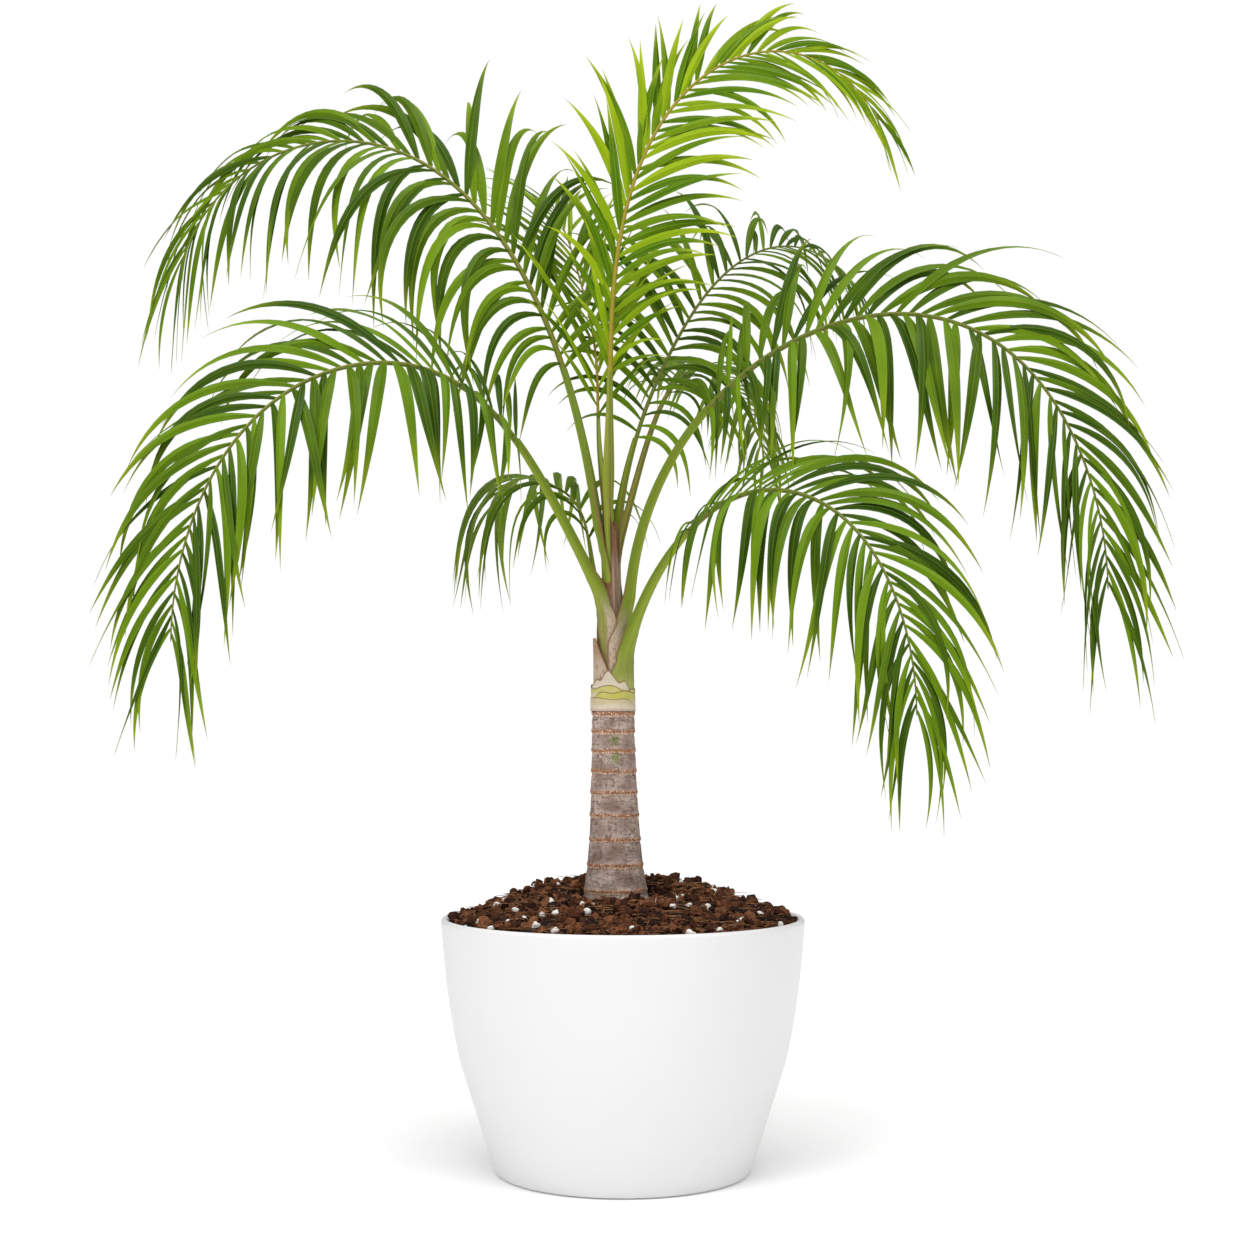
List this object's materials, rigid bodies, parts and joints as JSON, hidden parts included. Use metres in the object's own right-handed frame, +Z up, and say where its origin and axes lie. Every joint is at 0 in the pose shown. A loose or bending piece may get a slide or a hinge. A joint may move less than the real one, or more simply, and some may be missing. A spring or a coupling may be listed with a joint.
{
  "type": "potted palm",
  "caption": "Young feather palm with a ringed trunk and arching fronds, growing in a round tapered white planter filled with soil.",
  "frame": {"origin": "centre of the planter's flat underside", "axes": "+Z up, +X to the plant's right as pictured, -Y to the front"},
  "size_m": [1.4747, 1.2435, 1.7032],
  "materials": {
    "pot_plastic": "smooth satin white",
    "soil": "rough, crumbly, dark red-brown with white grains",
    "bark": "rough grey-brown with ring scars",
    "dry_base": "dry, fibrous, pale tan",
    "green_base": "smooth ribbed green, brown edges",
    "leaf_green": "soft sheen, dark green with lighter tips",
    "leaf_young": "soft sheen, bright yellow-green"
  },
  "bodies": {
    "root": {"pot": "pot_plastic", "soil": "soil", "trunk": "bark", "leaf_base_old": "dry_base", "leaf_base_lower_right": "green_base", "frond_lower_right_inner": "leaf_green", "frond_lower_right_outer": "leaf_green", "leaf_base_upper_right": "green_base", "frond_upper_right_inner": "leaf_green", "frond_upper_right_outer": "leaf_green", "leaf_base_back_left": "green_base", "frond_back_left_inner": "leaf_green", "frond_back_left_outer": "leaf_green", "leaf_base_lower_left": "green_base", "frond_lower_left_inner": "leaf_green", "frond_lower_left_outer": "leaf_green", "leaf_base_back_right_low": "green_base", "frond_back_right_low_inner": "leaf_green", "frond_back_right_low_outer": "leaf_green", "leaf_base_back_right": "green_base", "frond_back_right_inner": "leaf_green", "frond_back_right_outer": "leaf_green", "leaf_base_upper_left": "green_base", "frond_upper_left_inner": "leaf_green", "frond_upper_left_outer": "leaf_green", "leaf_base_back_young": "green_base", "frond_back_young_inner": "leaf_young", "frond_back_young_outer": "leaf_young", "leaf_base_top": "green_base", "frond_top_inner": "leaf_young", "frond_top_outer": "leaf_young"}
  },
  "joints": []
}
